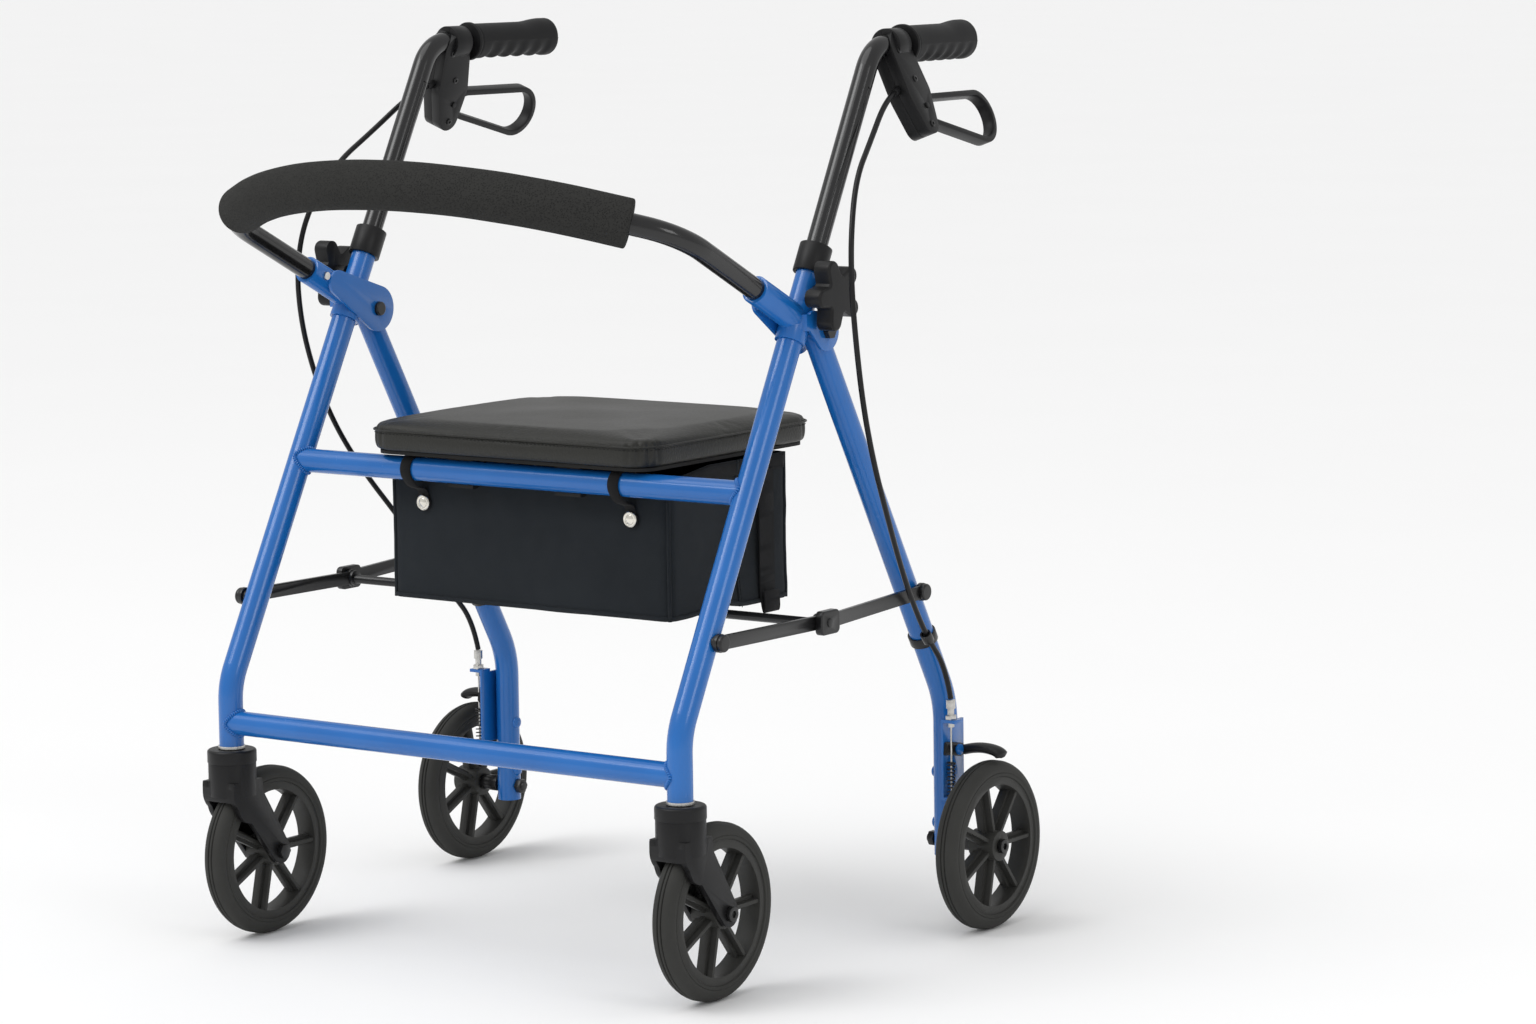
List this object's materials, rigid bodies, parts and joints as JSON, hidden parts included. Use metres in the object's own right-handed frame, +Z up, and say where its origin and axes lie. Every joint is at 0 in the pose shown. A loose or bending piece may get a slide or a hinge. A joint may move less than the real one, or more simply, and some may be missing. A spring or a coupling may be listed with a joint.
{
  "type": "rollator walker",
  "caption": "Folding four-wheel rollator walker with padded seat, backrest loop, hanging bag, height-adjustable handles and cable-pulled loop brakes.",
  "frame": {"origin": "on the ground under the middle of the walker's overall box", "axes": "+Z up, X across with the mirror plane at X = 0, -Y the way it leads (casters and backrest), +Y the user's side"},
  "size_m": [0.632, 0.5758, 0.815],
  "materials": {
    "frame_blue": "gloss powder coat",
    "black_tube": "gloss black",
    "black_steel": "satin black",
    "zinc_steel": "bright zinc",
    "black_plastic": "moulded",
    "wheel_plastic": "moulded",
    "tyre": "moulded rubber",
    "grip_rubber": "soft matt",
    "foam": "closed cell foam",
    "seat_vinyl": "padded vinyl",
    "seat_board": "plywood, black",
    "bag_cloth": "woven nylon",
    "webbing": "webbing",
    "cable_casing": "smooth",
    "snap_metal": "polished"
  },
  "bodies": {
    "front_frame": {"front_leg_left": "frame_blue", "front_leg_right": "frame_blue", "seat_crossbar": "frame_blue", "lower_crossbar": "frame_blue", "hinge_bracket_left": "frame_blue", "hinge_bracket_right": "frame_blue", "hub_bolts": "black_steel", "handle_collars": "black_plastic", "stem_bushes": "zinc_steel", "link_studs": "black_steel", "backrest_bar": "black_tube", "backrest_foam": "foam", "bag": "bag_cloth", "bag_straps": "webbing", "bag_snaps": "snap_metal", "brake_cable_left": "cable_casing", "brake_cable_right": "cable_casing"},
    "rear_leg_right": {"rear_leg_right": "frame_blue", "rear_axle_right": "black_steel", "brake_bracket_right": "frame_blue", "cable_adjuster_right": "zinc_steel", "leg_fittings_right": "black_steel"},
    "rear_wheel_right": {"rear_tyre_right": "tyre", "rear_rim_right": "wheel_plastic"},
    "brake_arm_right": {"brake_arm_right": "black_plastic"},
    "caster_right": {"caster_fork_right": "black_plastic", "caster_cap_right": "black_plastic", "caster_bolts_right": "black_steel"},
    "front_wheel_right": {"front_tyre_right": "tyre", "front_rim_right": "wheel_plastic"},
    "handle_right": {"handle_tube_right": "black_tube", "grip_right": "grip_rubber", "brake_housing_right": "black_plastic"},
    "brake_lever_right": {"brake_lever_right": "black_plastic"},
    "knob_right": {"knob_right": "black_plastic"},
    "rear_link_right": {"rear_link_right": "black_steel"},
    "backrest_button_right": {"backrest_button_right": "zinc_steel"},
    "rear_leg_left": {"rear_leg_left": "frame_blue", "rear_axle_left": "black_steel", "brake_bracket_left": "frame_blue", "cable_adjuster_left": "zinc_steel", "leg_fittings_left": "black_steel"},
    "rear_wheel_left": {"rear_tyre_left": "tyre", "rear_rim_left": "wheel_plastic"},
    "brake_arm_left": {"brake_arm_left": "black_plastic"},
    "caster_left": {"caster_fork_left": "black_plastic", "caster_cap_left": "black_plastic", "caster_bolts_left": "black_steel"},
    "front_wheel_left": {"front_tyre_left": "tyre", "front_rim_left": "wheel_plastic"},
    "handle_left": {"handle_tube_left": "black_tube", "grip_left": "grip_rubber", "brake_housing_left": "black_plastic"},
    "brake_lever_left": {"brake_lever_left": "black_plastic"},
    "knob_left": {"knob_left": "black_plastic"},
    "rear_link_left": {"rear_link_left": "black_steel"},
    "backrest_button_left": {"backrest_button_left": "zinc_steel"},
    "front_links": {"front_links": "black_steel"},
    "seat": {"seat_board": "seat_board", "seat_pad": "seat_vinyl"}
  },
  "joints": [
    {"name": "fold", "type": "hinge", "parent": "front_frame", "child": "rear_leg_right", "pos_m": [0.253, 0.0115, 0.556], "axis": [-1, 0, 0], "range_deg": [0, 30], "deforming": ["brake_cable_left", "brake_cable_right", "bag"]},
    {"name": "fold_left", "type": "hinge", "parent": "front_frame", "child": "rear_leg_left", "pos_m": [-0.253, 0.0115, 0.556], "axis": [-1, 0, 0], "range_deg": [0, 30]},
    {"name": "front_brace", "type": "hinge", "parent": "front_frame", "child": "front_links", "pos_m": [0, -0.14921, 0.307], "axis": [1, 0, 0], "range_deg": [0, 48.5]},
    {"name": "rear_brace_right", "type": "hinge", "parent": "rear_leg_right", "child": "rear_link_right", "pos_m": [0.2693, 0.15068, 0.312], "axis": [-1, 0, 0], "range_deg": [0, 41.4]},
    {"name": "rear_wheel_spin_right", "type": "hinge", "parent": "rear_leg_right", "child": "rear_wheel_right", "pos_m": [0.298, 0.21182, 0.0762], "axis": [1, 0, 0], "continuous": true},
    {"name": "caster_swivel_right", "type": "hinge", "parent": "front_frame", "child": "caster_right", "pos_m": [0.25, -0.18818, 0.16], "axis": [0, 0, 1], "continuous": true},
    {"name": "front_wheel_spin_right", "type": "hinge", "parent": "caster_right", "child": "front_wheel_right", "pos_m": [0.25, -0.14518, 0.0762], "axis": [1, 0, 0], "continuous": true},
    {"name": "handle_slide_right", "type": "slide", "parent": "front_frame", "child": "handle_right", "axis": [0, 0.4695, 0.8829], "range_m": [-0.015, 0.1]},
    {"name": "brake_lever_right", "type": "hinge", "parent": "handle_right", "child": "brake_lever_right", "pos_m": [0.2675, 0.15465, 0.7406], "axis": [0.9377, 0.0656, 0.3413], "range_deg": [0, 12], "stiffness_Nm_per_rad": 1.5},
    {"name": "brake_arm_right", "type": "hinge", "parent": "rear_leg_right", "child": "brake_arm_right", "pos_m": [0.27, 0.20382, 0.162], "axis": [-1, 0, 0], "range_deg": [0, 4.5]},
    {"name": "knob_turn_right", "type": "hinge", "parent": "front_frame", "child": "knob_right", "pos_m": [0.275, 0.00069, 0.58893], "axis": [1, 0, 0], "continuous": true},
    {"name": "button_press_right", "type": "slide", "parent": "front_frame", "child": "backrest_button_right", "axis": [1, 0, 0], "range_m": [0, 0.0015], "stiffness_N_per_m": 400},
    {"name": "rear_brace_left", "type": "hinge", "parent": "rear_leg_left", "child": "rear_link_left", "pos_m": [-0.2693, 0.15068, 0.312], "axis": [-1, 0, 0], "range_deg": [0, 41.4]},
    {"name": "rear_wheel_spin_left", "type": "hinge", "parent": "rear_leg_left", "child": "rear_wheel_left", "pos_m": [-0.298, 0.21182, 0.0762], "axis": [1, 0, 0], "continuous": true},
    {"name": "caster_swivel_left", "type": "hinge", "parent": "front_frame", "child": "caster_left", "pos_m": [-0.25, -0.18818, 0.16], "axis": [0, 0, 1], "continuous": true},
    {"name": "front_wheel_spin_left", "type": "hinge", "parent": "caster_left", "child": "front_wheel_left", "pos_m": [-0.25, -0.14518, 0.0762], "axis": [1, 0, 0], "continuous": true},
    {"name": "handle_slide_left", "type": "slide", "parent": "front_frame", "child": "handle_left", "axis": [0, 0.4695, 0.8829], "range_m": [-0.015, 0.1]},
    {"name": "brake_lever_left", "type": "hinge", "parent": "handle_left", "child": "brake_lever_left", "pos_m": [-0.2675, 0.15465, 0.7406], "axis": [0.9377, -0.0656, -0.3413], "range_deg": [0, 12], "stiffness_Nm_per_rad": 1.5},
    {"name": "brake_arm_left", "type": "hinge", "parent": "rear_leg_left", "child": "brake_arm_left", "pos_m": [-0.27, 0.20382, 0.162], "axis": [-1, 0, 0], "range_deg": [0, 4.5]},
    {"name": "knob_turn_left", "type": "hinge", "parent": "front_frame", "child": "knob_left", "pos_m": [-0.275, 0.00069, 0.58893], "axis": [1, 0, 0], "continuous": true},
    {"name": "button_press_left", "type": "slide", "parent": "front_frame", "child": "backrest_button_left", "axis": [-1, 0, 0], "range_m": [0, 0.0015], "stiffness_N_per_m": 400},
    {"name": "seat_lift", "type": "hinge", "parent": "front_frame", "child": "seat", "pos_m": [0, -0.08642, 0.4251], "axis": [1, 0, 0], "range_deg": [0, 90]}
  ],
  "couplings": [
    {"joint": "fold_left", "follows": "fold", "ratio": 1},
    {"joint": "front_brace", "follows": "fold", "ratio": 1.5818},
    {"joint": "rear_brace_right", "follows": "fold", "ratio": 1.348},
    {"joint": "brake_arm_right", "follows": "brake_lever_right", "ratio": 0.375},
    {"joint": "rear_brace_left", "follows": "fold", "ratio": 1.348},
    {"joint": "brake_arm_left", "follows": "brake_lever_left", "ratio": 0.375}
  ]
}
